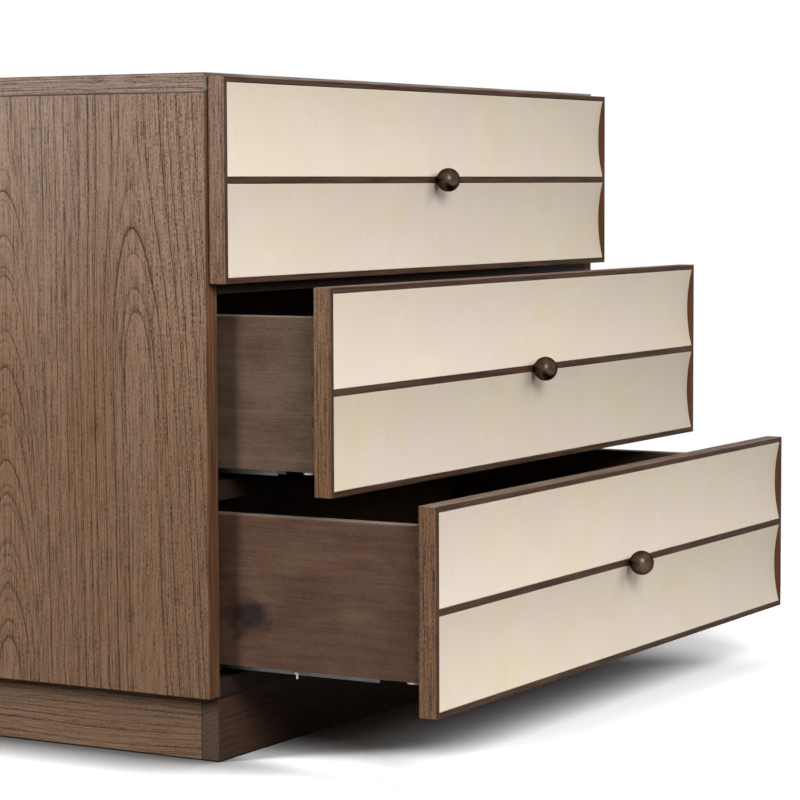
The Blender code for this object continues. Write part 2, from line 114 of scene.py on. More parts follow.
# Grain: ring spacings, and the hearts that ring_number explains
HEART_BLUNT = 0.0276
HEART_START = 0.45
HEART_CROWDING = 1.2
HEARTS_APART = (0.2, 2.2)
HEARTS_MERGE = 2.0
ARCH_SOFTNESS = 0.03
LEG_CLIMB = 0.1
CROWN_REACH = 0.014
SIDE_RINGS = 0.0078
TOP_RINGS = 0.0080
BOARD_RINGS = 0.0065
FINE_RINGS = 0.0042
LEFT_HEARTS = (
    (-0.4075, 0.036, 0.071, 0.391, 2.1, 0.028, 3.2, 0.5),
    (-0.253, 0.0, 0.042, 0.0919, 11.15, 0.2, 0.0, 0.042),
)
RIGHT_HEARTS = (
    (0.440, 0.020, 0.090, 0.200, 3.6, 0.032, 3.0, 0.5),
    (0.600, 0.0, 0.050, 0.100, 99.0, 0.2, 0.0, 0.045),
)
TOP_HEARTS = (
    (0.13, 0.0, 0.12, -0.5, 99.0, 0.2, 0.0, 0.2),
    (0.30, 0.0, 0.15, -0.5, 99.0, 0.2, 0.0, 0.2),
)

# Pith of the plinth's front board, from its lower corner
PLINTH_PITH = (-0.012, -0.008)

# Marks on the drawer boxes, and how red each box is
BOX_REDNESS = {"top": 0.4, "middle": 0.1, "bottom": 0.8}
BOTTOM_KNOT = (-0.115, 0.048, 0.024)
MIDDLE_BANDS = (0.0105, 0.0545)
BAND_WIDTH = 0.0011

# Wood and parchment tones
ASH_GREY = (0.276, 0.196, 0.146)
ASH_WARM = (0.188, 0.111, 0.065)
ASH_TAN = (0.268, 0.172, 0.110)
ASH_LINE = (0.046, 0.028, 0.023)
ASH_LINE_WARM = (0.043, 0.023, 0.015)
TOP_PALE = (0.262, 0.192, 0.154)
PLINTH_WARM = (0.175, 0.103, 0.062)
# Near-black tones of the plinth front and the rails: painted shade for where they sit under the drawers
PLINTH_FRONT_PAINTED_SHADE = (0.088, 0.047, 0.029)
RAIL_PAINTED_SHADE = (0.024, 0.014, 0.010)
LIPPING_LIGHT = (0.195, 0.095, 0.048)
LIPPING_DARK = (0.075, 0.034, 0.017)
TOP_EDGE_LIGHT = (0.330, 0.275, 0.235)
TOP_EDGE_DARK = (0.120, 0.090, 0.070)
# Near-black line along the floor: painted contact shadow
PAINTED_FLOOR_SHADOW = (0.004, 0.003, 0.003)
END_LIGHT = (0.088, 0.057, 0.044)
END_DARK = (0.030, 0.020, 0.017)
# Frame tones: the ends' paler colour is partly the veneer and partly painted light from the left; the top's
# paler colour is painted light from above
FRAME_SIDE = (0.182, 0.097, 0.051)
FRAME_BROWN = (0.082, 0.044, 0.027)
FRAME_DARK = (0.037, 0.019, 0.012)
FRAME_INNER = (0.180, 0.075, 0.028)
FRAME_TOP_PAINTED_LIGHT = (0.230, 0.168, 0.128)
BOX_GREY = (0.121, 0.080, 0.056)
BOX_RED = (0.106, 0.056, 0.036)
BOX_DARK = (0.026, 0.016, 0.013)
# Pale tone of upward faces: painted light from above
BOX_TOP_PAINTED_LIGHT = (0.230, 0.195, 0.160)
KNOT_DARK = (0.012, 0.009, 0.010)
PARCHMENT_PALE = (0.752, 0.654, 0.541)
PARCHMENT_SALLOW = (0.728, 0.636, 0.455)
PARCHMENT_ROSY = (0.728, 0.618, 0.563)
PARCHMENT_BRUSHED = (0.660, 0.565, 0.445)
# Each panel's parchment made lighter or darker: painted light and shade for how light falls on it
PANEL_PAINTED_LIGHT = {
    ("top", "upper"): 0.98,
    ("top", "lower"): 0.97,
    ("middle", "lower"): 0.92,
    ("bottom", "upper"): 1.02,
    ("bottom", "lower"): 1.04,
}

# Metal tones
BRONZE_DARK = (0.060, 0.042, 0.031)
BRONZE_RUBBED = (0.100, 0.071, 0.052)
BRONZE_GLINT = (0.35, 0.30, 0.28, 1.0)
RUNNER_ZINC = ((0.140, 0.146, 0.152), (0.195, 0.200, 0.206))
SCREW_ZINC = ((0.52, 0.46, 0.45), (0.66, 0.60, 0.59))

# Fittings
SHARP_ANGLE = math.radians(35)
KNOB_ROUND_STEPS = 64
GLIDE_ROUND_STEPS = 32
SMALL_ROUND_STEPS = 24
EASE_STEPS = 2
PANEL_STEPS = 64
PANEL_SKIN = 0.003
PANEL_EASE = 0.0005
KNOB_NECK = 0.004
KNOB_STUD = 0.002
KNOB_COVE = 0.0015
KNOB_BALL_STEPS = 30
KNOB_COVE_STEPS = 8
KNOB_SEAT_GAP = 0.0003
RUNNER_SHEET = 0.0015

# Screws: the head's height, the radius of its top, its recess and arms are shares of its width
SCREW_TURNS = 7
SCREW_SIDES = 20
SCREW_HEAD = 0.26
SCREW_TOP = 0.33
SCREW_RECESS = 0.14
SCREW_ARM = 0.62
RUNNER_SCREW_WIDTH = 0.0075
RUNNER_SCREW_RISE = 0.004
RUNNER_SCREW_FRONT = 0.035
RUNNER_SCREW_BACK = 0.040
BACK_SCREW_WIDTH = 0.006
BACK_SCREW_INSET = 0.012
BACK_SCREW_PROUD = 0.00015
BACK_SCREW_COLUMNS = 6
BACK_SCREW_ROWS = 5
FRONT_SCREW_WIDTH = 0.0085
FRONT_SCREW_ASIDE = 0.24
FRONT_SCREW_RISE = 0.035

# Turned fittings as pairs of radius and height, and their places under the box sides
WASHER_HEIGHT = 0.0012
WASHER_PROFILE = (
    (0.0, 0.0), (0.0068, 0.0), (0.0070, 0.0002), (0.0070, 0.0010), (0.0067, WASHER_HEIGHT),
    (0.0, WASHER_HEIGHT),
)
GLIDE_ASIDE = 0.3655
GLIDE_SETBACK = 0.023
GLIDE_PROFILE = (
    (0.0, -0.0026), (0.0016, -0.0026), (0.0021, -0.0030), (0.0052, -0.0030), (0.0061, -0.0026),
    (0.0065, -0.0018), (0.0065, -0.0006), (0.0062, 0.0), (0.0, 0.0),
)
PIN_ASIDE = 0.369
PIN_SETBACK = 0.145
PIN_PROFILE = (
    (0.0, -0.0083), (0.0009, -0.0083), (0.0011, -0.0080), (0.0011, -0.0037), (0.0025, -0.0037),
    (0.00275, -0.0034), (0.00275, -0.0022), (0.0025, -0.0019), (0.0, -0.0019),
)
PIN_SEAT_REACH = Vector((0.003, 0.004, 0.0))
PIN_SEAT_HEIGHT = 0.0019
PIN_SEAT_EASE = 0.0003


class Field:
    """A number that varies over a surface, held by a node's output. Sums and products add more nodes."""

    def __init__(self, bench, socket):
        self.bench = bench
        self.socket = socket

    def __add__(self, other):
        return self.bench.math("ADD", self, other)

    def __sub__(self, other):
        return self.bench.math("SUBTRACT", self, other)

    def __mul__(self, other):
        return self.bench.math("MULTIPLY", self, other)

    def __truediv__(self, other):
        return self.bench.math("DIVIDE", self, other)

    def __rsub__(self, other):
        return self.bench.math("SUBTRACT", other, self)

    def __neg__(self):
        return self * -1.0

    def __abs__(self):
        return self.bench.math("ABSOLUTE", self)

    __radd__ = __add__
    __rmul__ = __mul__

    def root(self):
        return self.bench.math("SQRT", self)

    def exponent(self):
        return self.bench.math("EXPONENT", self)

    def fraction(self):
        return self.bench.math("FRACT", self)

    def whole(self):
        return self.bench.math("FLOOR", self)

    def most(self, other):
        return self.bench.math("MAXIMUM", self, other)

    def rise(self, start, end):
        """0 before start, 1 after end and smooth between."""
        settings = {"interpolation_type": "SMOOTHSTEP"}
        node = self.bench.add("ShaderNodeMapRange", settings, {0: self, 1: start, 2: end, 3: 0.0, 4: 1.0})
        return Field(self.bench, node.outputs[0])


class Bench:
    """Adds nodes to a tree and wires them: a value may be a number, a colour, a field or a socket."""

    def __init__(self, tree):
        self.tree = tree

    def add(self, kind, settings=None, values=None):
        node = self.tree.nodes.new(kind)
        for name, value in (settings or {}).items():
            setattr(node, name, value)
        for key, value in (values or {}).items():
            self.feed(node.inputs[key], value)
        return node

    def feed(self, socket, value):
        if isinstance(value, Field):
            value = value.socket
        if isinstance(value, bpy.types.NodeSocket):
            self.tree.links.new(value, socket)
        elif isinstance(value, tuple) and socket.type == "RGBA" and len(value) == 3:
            socket.default_value = (*value, 1.0)
        else:
            socket.default_value = value

    def math(self, operation, *values):
        node = self.add("ShaderNodeMath", {"operation": operation}, dict(enumerate(values)))
        return Field(self, node.outputs[0])

    def vector(self, *values):
        return self.add("ShaderNodeCombineXYZ", None, dict(enumerate(values))).outputs[0]

    def place(self):
        """Object coordinates as three fields."""
        return self.parts(self.add("ShaderNodeTexCoord").outputs["Object"])

    def facing(self):
        """The surface's direction as three fields."""
        return self.parts(self.add("ShaderNodeTexCoord").outputs["Normal"])

    def parts(self, socket):
        node = self.add("ShaderNodeSeparateXYZ", None, {0: socket})
        return [Field(self, output) for output in node.outputs]

    def noise(self, x, y, z, detail=2.0, rough=0.5):
        """Smooth noise from 0 to 1 on three fields that are already scaled."""
        values = {"Vector": self.vector(x, y, z), "Scale": 1.0, "Detail": detail, "Roughness": rough}
        node = self.add("ShaderNodeTexNoise", {"noise_dimensions": "3D"}, values)
        return Field(self, node.outputs[0])

    def chance(self, value):
        """A random number from 0 to 1 for each whole value."""
        node = self.add("ShaderNodeTexWhiteNoise", {"noise_dimensions": "1D"}, {"W": value})
        return Field(self, node.outputs[0])

    def blend(self, factor, first, second):
        """Mix two colours."""
        settings = {"data_type": "RGBA", "clamp_factor": True}
        node = self.add("ShaderNodeMix", settings, {0: factor, 6: first, 7: second})
        return node.outputs[2]


def finish(name):
    """A new material, its bench and its shader."""
    material = bpy.data.materials.new(name)
    material.use_nodes = True
    bench = Bench(material.node_tree)
    return material, bench, material.node_tree.nodes["Principled BSDF"]


def settle(bench, shader, colour, rough, relief, depth, gloss=WOOD_GLOSS):
    """Wire a finish's colour, roughness and relief into its shader, and set its gloss."""
    bench.feed(shader.inputs["Base Color"], colour)
    bench.feed(shader.inputs["Roughness"], rough)
    values = {"Height": relief, "Distance": depth, "Strength": BUMP_STRENGTH}
    bench.feed(shader.inputs["Normal"], bench.add("ShaderNodeBump", None, values).outputs[0])
    shader.inputs["Specular IOR Level"].default_value = gloss


def dress(names, material):
    """Give solids of the frame a material."""
    for name in names:
        NODES[name].data.materials.clear()
        NODES[name].data.materials.append(material)


def ring_number(bench, along, across, hearts, spacing):
    """How many year rings lie between a point and the heart of a sliced board.

    Each heart is a set of arches that open downwards: its middle and lean across the grain, the height of
    one arch, the level below which the arches stop, how many there are, how far from the heart they reach,
    the slow taper of its legs, and the distance at which its legs crowd together. The second result is 0
    where two hearts meet and 1 elsewhere, and the third is 1 at the crowns of the arches.
    """
    rings = None
    apart = 1.0
    crown = 0.0
    for middle, lean, arch, level, most, reach, taper, crowd in hearts:
        above = along - level
        off = across - middle - above * lean
        square = off * off
        spread = ((square + HEART_BLUNT ** 2).root() - HEART_BLUNT) / spacing
        spread = spread * (1.0 + square * square * (HEART_CROWDING / crowd ** 4))
        climb = (above + (above * above + ARCH_SOFTNESS ** 2).root()) * (0.5 / arch)
        climb = bench.math("SMOOTH_MIN", climb, most, 1.0)
        near = (square * (-0.5 / reach ** 2)).exponent()
        climb = climb * (LEG_CLIMB + near * (1.0 - LEG_CLIMB))
        heart = spread + climb + above * taper * (1.0 - near) + HEART_START
        crown = (square * (-1.0 / CROWN_REACH ** 2)).exponent() + crown
        if rings is None:
            rings = heart
        else:
            apart = abs(rings - heart).rise(*HEARTS_APART)
            rings = bench.math("SMOOTH_MIN", rings, heart, HEARTS_MERGE)
    if rings is None:
        rings = across / spacing
    return rings, apart, crown


def ash(bench, along, across, hearts, spacing, sway, seed, grey,
        speckle=0.0, warm=ASH_WARM, bite=1.0, lines=1.0):
    """Open-pored ash veneer: its colour, its roughness and its relief.

    Sway is how far the grain wanders. Grey is 1 for the pale, greyish stain and 0 for the warm one, and
    where it grows with height it is a painted sheen; speckle adds short dark pores. Both may be a number or
    a field. Bite is how strongly the fine grain shows, and lines how strongly the rings do.
    """
    drift = bench.noise(across * 5.0, along * 2.2, seed, 1.0) - 0.5
    shake = bench.noise(across * 60.0, along * 22.0, seed + 5.0, 2.0) - 0.5
    across = across + drift * sway + shake * (0.22 * spacing)
    rings, apart, crown = ring_number(bench, along, across, hearts, spacing)
    rings = rings + (bench.noise(rings * 0.7, seed, 0.0, 1.0) - 0.5) * rings.rise(2.0, 4.0) * 1.8
    ring = rings.whole()
    strength = bench.chance(ring + seed) * 0.75 + 0.25
    if hearts:
        core = (1.0 - rings.rise(3.5, 4.5)) * 0.6
        strength = strength.most(core) * (0.5 + rings.rise(0.8, 1.8) * 0.5) * apart
    fade = bench.noise(ring * 7.3, along * 9.0, seed, 1.0).rise(0.25, 0.60)
    phase = rings.fraction()
    halo = ((phase * -8.0).exponent() + phase.rise(0.95, 1.0)) * (1.0 - crown * 0.65)
    year = (halo + (phase * -40.0).exponent() * crown * 0.7) * strength * (0.45 + fade * 0.55)
    inner = rings * 3.0 + (bench.noise(rings * 2.0, along * 3.0, seed + 6.0, 1.0) - 0.5) * 1.5
    thin = (inner.fraction() * -6.0).exponent() * bench.chance(inner.whole() + seed)
    streak = bench.noise(across * 480.0, along * 8.0, seed + 1.0, 1.0) - 0.5
    fibre = bench.noise(across * 900.0, along * 40.0, seed + 4.0, 1.0) - 0.5
    dash = bench.noise(across * 950.0, along * 300.0, seed + 2.0, 1.0) - 0.5
    cloud = bench.noise(across * 18.0, along * 2.5, seed + 3.0, 2.0) - 0.5

    calm = 1.0 - year * 0.6
    texture = (streak * 1.1 + fibre * 1.5 + dash * (1.3 + speckle)) * bite
    depth = 0.17 + texture * calm + (year * 1.10 + thin * 0.80) * lines + cloud * 0.3
    tint = cloud * 0.8 + grey
    colour = bench.blend(tint, warm, ASH_GREY)
    colour = bench.blend(depth, colour, bench.blend(tint, ASH_LINE_WARM, ASH_LINE))
    rough = WOOD_ROUGH + depth * 0.18
    return colour, rough, -depth


def end_grain(bench, u, v, pith):
    """Sawn ends: rings round a pith that lies outside the board, with dark pores."""
    off = u - pith[0]
    rise = v - pith[1]
    rings = (off * off + rise * rise).root() / FINE_RINGS
    shake = bench.noise(u * 220.0, v * 220.0, 0.3, 2.0) - 0.5
    year = ((rings + shake * 0.5).fraction() * -4.0).exponent()
    pores = bench.noise(u * 1300.0, v * 1300.0, 1.3, 2.0).rise(0.45, 0.70)
    return bench.blend(year * 0.6 + pores * 0.45, END_LIGHT, END_DARK)


def lipping(bench, along, across, seed, light, dark):
    """Edge strip with long fine streaks."""
    streak = bench.noise(across * 420.0, along * 9.0, seed, 2.0)
    return bench.blend(streak.rise(0.30, 0.72), light, dark)


def side_veneer(name, hearts, seed):
    """Upright ash on a cabinet side, greyer towards the top as a painted sheen of light from above, with a
    lipped front edge.
    """
    material, bench, shader = finish(name)
    x, y, z = bench.place()
    # Greyer towards the top: painted sheen of light from above; it also grows towards the back
    grey = z.rise(0.28, 0.70) * (0.35 + y.rise(-0.10, 0.08) * 0.65)
    speckle = (1.0 - y.rise(-0.05, 0.0)) * 0.6
    warm = bench.blend((1.0 - y.rise(-0.06, 0.04)) * z.rise(0.20, 0.60), ASH_WARM, ASH_TAN)
    colour, rough, relief = ash(bench, z, y + x, hearts, SIDE_RINGS, 0.006, seed, grey, speckle, warm, 1.15)
    front = (-bench.facing()[1]).rise(*EDGE_TURN)
    colour = bench.blend(front, colour, lipping(bench, z, x, seed, LIPPING_LIGHT, LIPPING_DARK))
    settle(bench, shader, colour, rough, relief, VENEER_RELIEF)
    return material


def top_veneer():
    """Ash along the cabinet's width on top and level on its ends, with lipped front and back edges."""
    material, bench, shader = finish("top_veneer")
    x, y, z = bench.place()
    facing = bench.facing()
    ends = abs(facing[0]).rise(*END_TURN)
    colour, rough, relief = ash(bench, x, y, TOP_HEARTS, TOP_RINGS, 0.016, 8.0, 0.9)
    level = ash(bench, y, z, (), FINE_RINGS, 0.010, 3.0, 0.0, 0.0, TOP_PALE, 1.0, 1.1)
    colour = bench.blend(ends, colour, level[0])
    rough = rough * (1.0 - ends) + level[1] * ends
    relief = relief * (1.0 - ends) + level[2] * ends
    edges = abs(facing[1]).rise(*EDGE_TURN)
    colour = bench.blend(edges, colour, lipping(bench, x, z, 9.0, TOP_EDGE_LIGHT, TOP_EDGE_DARK))
    settle(bench, shader, colour, rough, relief, VENEER_RELIEF)
    return material


def board_veneer(name, grain, seed, pith, grey, warm):
    """Ash along X or Y with sawn end grain, for rails, the bottom board and the plinth, with a painted
    shadow line at the floor.
    """
    material, bench, shader = finish(name)
    x, y, z = bench.place()
    along, across = (x, y + z) if grain == "X" else (y, x + z)
    looks = ash(bench, along, across, (), BOARD_RINGS, 0.035, seed, grey, 0.0, warm, 0.9, 0.8)
    colour, rough, relief = looks
    ends = abs(bench.facing()["XYZ".index(grain)]).rise(*END_TURN)
    colour = bench.blend(ends, colour, end_grain(bench, y if grain == "X" else x, z, pith))
    # A near-black band just above the floor: painted contact shadow at the plinth's foot
    colour = bench.blend(1.0 - z.rise(*PAINTED_FLOOR_SHADOW_RISE), colour, PAINTED_FLOOR_SHADOW)
    settle(bench, shader, colour, rough, relief, VENEER_RELIEF)
    return material


def front_frame_wood():
    """Drawer front frame: veneered ends greyer up top (painted sheen), dark brown faces, redder inner edges
    and a paler top (painted light).
    """
    material, bench, shader = finish("front_frame_wood")
    x, y, z = bench.place()
    facing = bench.facing()
    # Greyer towards the top: painted sheen of light from above
    grey = z.rise(0.25, 0.85)
    looks = ash(bench, z, y + x, (), FINE_RINGS, 0.002, 21.0, grey, 0.0, FRAME_SIDE, 1.3, 1.1)
    colour, rough, relief = looks
    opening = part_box("top_drawer_upper_panel")[1].x
    stile = abs(x).rise(opening, opening + STILE_CHANGE)
    rail_streak = bench.noise(x * 14.0, y * 420.0, z * 420.0, 2.0)
    stile_streak = bench.noise(x * 420.0, y * 420.0, z * 14.0, 2.0)
    streak = rail_streak * (1.0 - stile) + stile_streak * stile
    face = bench.blend(streak.rise(0.32, 0.70), FRAME_BROWN, FRAME_DARK)
    # Dark front faces against paler ends: partly the finish, partly painted light on the ends
    colour = bench.blend((-facing[1]).rise(*EDGE_TURN), colour, face)
    inward = (facing[0] * x * -1.0).rise(*INNER_TURN)
    inner = bench.blend(streak.rise(0.30, 0.75), FRAME_INNER, FRAME_BROWN)
    colour = bench.blend(inward, colour, inner)
    # Upward faces paler: painted light from above
    painted_top_light = bench.blend(rail_streak.rise(0.30, 0.72), FRAME_TOP_PAINTED_LIGHT, FRAME_BROWN)
    colour = bench.blend(facing[2].rise(*EDGE_TURN), colour, painted_top_light)
    settle(bench, shader, colour, rough, relief, PLAIN_WOOD_RELIEF)
    return material


def box_wood(name, grain, seed, red=0.5, knot=None, bands=(), mottle=1.0, rim=0.6):
    """Fine straight-grained wood of the drawer boxes, stained brown.

    A knot is a place along and across the grain and a reach; bands are paler lines at places across it.
    Mottle is how strongly the stain varies, and rim how much paler the upward faces are, which is painted
    light from above.
    """
    material, bench, shader = finish(name)
    x, y, z = bench.place()
    along, across = {"X": (x, y + z), "Y": (y, z + x), "Z": (z, y + x)}[grain]
    bend = bench.noise(across * 14.0, along * 6.0, seed + 4.0, 1.0) - 0.5
    level = across + bend * 0.006
    streak = bench.noise(level * 900.0, along * 32.0, seed, 1.0) - 0.5
    board = bench.noise(level * 160.0, along * 7.0, seed + 3.0, 2.0) - 0.5
    fleck = bench.noise(level * 1300.0, along * 220.0, seed + 1.0, 1.0) - 0.5
    cloud = (bench.noise(across * 24.0, along * 14.0, seed + 2.0, 3.0) - 0.5) * mottle
    colour = bench.blend(red + cloud * 2.2 + board * 0.3, BOX_GREY, BOX_RED)
    shade = 0.25 + streak * 0.7 + board * 0.6 + fleck * 0.8 + cloud * 0.8
    for place in bands:
        off = (across - place) / BAND_WIDTH
        shade = shade - (off * off * -1.0).exponent() * 0.35
    if knot:
        middle_along, middle_across, reach = knot
        off = along - middle_along
        rise = across - middle_across
        ragged = bench.noise(across * 75.0, along * 45.0, seed + 5.0, 3.0) - 0.5
        distance = (off * off + rise * rise).root() / reach + ragged * 1.8
        smear = (off * off * (-1.0 / (3.2 * reach) ** 2) - rise * rise * (6.0 / reach ** 2)).exponent()
        shade = shade + smear * 0.35
        colour = bench.blend((1.0 - distance.rise(0.35, 1.15)) * 0.95, colour, KNOT_DARK)
    colour = bench.blend(shade, colour, BOX_DARK)
    facing = bench.facing()
    ends = abs(facing["XYZ".index(grain)]).rise(*END_TURN)
    colour = bench.blend(ends * 0.2, colour, BOX_DARK)
    # Upward faces paler: painted light from above
    colour = bench.blend(facing[2].rise(*TOP_LIGHT_TURN) * rim, colour, BOX_TOP_PAINTED_LIGHT)
    rough = WOOD_ROUGH + streak * 0.2
    settle(bench, shader, colour, rough, streak * 0.5 + fleck * -0.4, PLAIN_WOOD_RELIEF)
    return material


def parchment(name, seed, tone):
    """Cream parchment: soft mottling, faint upright brushing and a fine tooth. Tone scales a whole panel, as
    painted light and shade for where it sits.
    """
    material, bench, shader = finish(name)
    x, y, z = bench.place()
    blotch = bench.noise(x * 17.0, seed, z * 20.0, 4.0, 0.65)
    wash = bench.noise(x * 7.0, seed + 4.0, z * 9.0, 3.0)
    brush = bench.noise(x * 240.0, seed + 8.0, z * 18.0, 2.0)
    tooth = bench.noise(x * 1400.0, y * 1400.0, z * 1400.0, 2.0)
    shades = (PARCHMENT_PALE, PARCHMENT_SALLOW, PARCHMENT_ROSY, PARCHMENT_BRUSHED)
    pale, sallow, rosy, brushed = (tuple(part * tone for part in shade) for shade in shades)
    colour = bench.blend(blotch.rise(0.3, 0.7), pale, sallow)
    colour = bench.blend(wash.rise(0.35, 0.7) * 0.7, colour, rosy)
    colour = bench.blend(brush.rise(0.4, 0.8) * 0.25, colour, brushed)
    rough = 0.46 + blotch * 0.18
    settle(bench, shader, colour, rough, tooth * 0.4 + brush * 0.3, PARCHMENT_RELIEF, SATIN_GLOSS)
    return material


def bronze():
    """Dark patinated bronze with a satin sheen, browner where it is rubbed."""
    material, bench, shader = finish("dark_bronze")
    x, y, z = bench.place()
    cloud = bench.noise(x * 160.0, y * 160.0, z * 160.0, 4.0)
    scratch = bench.noise(x * 900.0, y * 200.0, z * 900.0, 2.0)
    colour = bench.blend(cloud.rise(0.3, 0.75), BRONZE_DARK, BRONZE_RUBBED)
    settle(bench, shader, colour, 0.27 + cloud * 0.12, scratch, BRONZE_RELIEF, METAL_GLOSS)
    shader.inputs["Metallic"].default_value = 1.0
    shader.inputs["Specular Tint"].default_value = BRONZE_GLINT
    return material


def zinc(name, dull, bright):
    """Zinc-plated sheet with drawn lines along the runner."""
    material, bench, shader = finish(name)
    x, y, z = bench.place()
    drawn = bench.noise(x * 900.0, y * 12.0, z * 900.0, 2.0)
    bloom = bench.noise(x * 45.0, y * 45.0, z * 45.0, 3.0)
    colour = bench.blend(bloom.rise(0.3, 0.7), dull, bright)
    settle(bench, shader, colour, 0.30 + drawn * 0.25, drawn, ZINC_RELIEF, SATIN_GLOSS)
    shader.inputs["Metallic"].default_value = ZINC_METAL
    return material


def turn(shape, profile, place, axis="Z", steps=SMALL_ROUND_STEPS):
    """Spin pairs of radius and height round an axis through a place. A radius of 0 closes an end."""
    turned = {"X": Matrix.Rotation(math.pi / 2, 4, "Y"), "Y": Matrix.Rotation(-math.pi / 2, 4, "X")}
    at = Matrix.Translation(place) @ turned.get(axis, Matrix.Identity(4))
    rings = []
    for radius, height in profile:
        angles = [2 * math.pi * step / steps for step in range(steps if radius > 0 else 1)]
        points = [Vector((radius * math.cos(a), radius * math.sin(a), height)) for a in angles]
        rings.append([shape.verts.new(at @ point) for point in points])
    for near, far in zip(rings, rings[1:]):
        for step in range(steps):
            after = step + 1
            corners = [near[step % len(near)], near[after % len(near)]]
            corners += [far[after % len(far)], far[step % len(far)]]
            shape.faces.new(list(dict.fromkeys(corners)))


def block(shape, low, high, ease):
    """A small block between two corners with rounded edges."""
    at = Matrix.Translation((low + high) / 2) @ Matrix.Diagonal((*(high - low), 1.0))
    made = bmesh.ops.create_cube(shape, size=1.0, matrix=at)
    edges = list({edge for vert in made["verts"] for edge in vert.link_edges})
    bmesh.ops.bevel(shape, geom=edges, offset=ease, segments=EASE_STEPS, profile=0.5, affect="EDGES")


def as_piece(name, shape, material, body, replaced=()):
    """Turn a bmesh into a piece that rides on a body."""
    bmesh.ops.recalc_face_normals(shape, faces=shape.faces)
    mesh = bpy.data.meshes.new(name)
    shape.to_mesh(mesh)
    shape.free()
    mesh.materials.append(material)
    mesh.shade_smooth()
    mesh.set_sharp_from_angle(angle=SHARP_ANGLE)
    item = bpy.data.objects.new(name, mesh)
    bpy.context.scene.collection.objects.link(item)
    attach(item, body)
    for node in replaced:
        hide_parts(node)


def build_panel(drawer, half, material):
    """One scooped parchment panel with softly rounded edges."""
    node = f"{drawer}_{half}_panel"
    low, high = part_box(node)
    reach = (high.z - low.z) / 2
    middle = (high.z + low.z) / 2
    depth = high.y - low.y - PANEL_SKIN
    radius = (reach ** 2 + depth ** 2) / (2 * depth)
    centre = low.y + depth - radius
    heights = [reach * (2 * step / PANEL_STEPS - 1) for step in range(PANEL_STEPS + 1)]
    face = [(centre + math.sqrt(radius ** 2 - z ** 2), middle + z) for z in heights]
    rear = [(centre + math.sqrt((radius + PANEL_SKIN) ** 2 - z ** 2), middle + z) for z in heights]
    outline = face + rear[::-1]
    shape = bmesh.new()
    ends = [[shape.verts.new((x, y, z)) for y, z in outline] for x in (low.x, high.x)]
    count = len(outline)
    for step in range(count):
        after = (step + 1) % count
        shape.faces.new([ends[0][step], ends[0][after], ends[1][after], ends[1][step]])
    for ring in ends:
        for step in range(PANEL_STEPS):
            shape.faces.new([ring[step], ring[step + 1], ring[count - 2 - step], ring[count - 1 - step]])
    rim = set()
    for ring in ends:
        rim.update(shape.edges.get((ring[step], ring[step + 1])) for step in range(PANEL_STEPS))
    for step in (0, PANEL_STEPS):
        rim.add(shape.edges.get((ends[0][step], ends[1][step])))
    bmesh.ops.recalc_face_normals(shape, faces=shape.faces)
    rim = list(rim)
    bmesh.ops.bevel(shape, geom=rim, offset=PANEL_EASE, segments=EASE_STEPS, profile=0.5, affect="EDGES")
    as_piece(f"{drawer}_{half}_parchment", shape, material, drawer, (node,))


def build_knob(drawer, material):
    """Turned ball knob, coved into its neck, with the stud that holds it."""
    node = f"{drawer}_knob"
    low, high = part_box(node)
    ball = (high.x - low.x) / 2
    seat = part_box(f"{drawer}_front_frame")[0].y
    centre = low.y + ball
    from_axis = KNOB_NECK + KNOB_COVE
    bend = math.acos(from_axis / (ball + KNOB_COVE))
    meets = math.pi / 2 + bend
    cove_end = centre + math.sqrt((ball + KNOB_COVE) ** 2 - from_axis ** 2)
    profile = [(0.0, low.y)]
    for step in range(1, KNOB_BALL_STEPS + 1):
        angle = meets * step / KNOB_BALL_STEPS
        profile.append((ball * math.sin(angle), centre - ball * math.cos(angle)))
    for step in range(1, KNOB_COVE_STEPS + 1):
        angle = bend * (1 - step / KNOB_COVE_STEPS)
        profile.append((from_axis - KNOB_COVE * math.cos(angle), cove_end - KNOB_COVE * math.sin(angle)))
    neck_end = seat - KNOB_SEAT_GAP
    profile += [(KNOB_NECK, neck_end), (KNOB_STUD, neck_end), (KNOB_STUD, high.y), (0.0, high.y)]
    shape = bmesh.new()
    middle = (low.z + high.z) / 2
    turn(shape, profile, (0.0, 0.0, middle), "Y", KNOB_ROUND_STEPS)
    as_piece(f"{drawer}_turned_knob", shape, material, drawer, (node,))


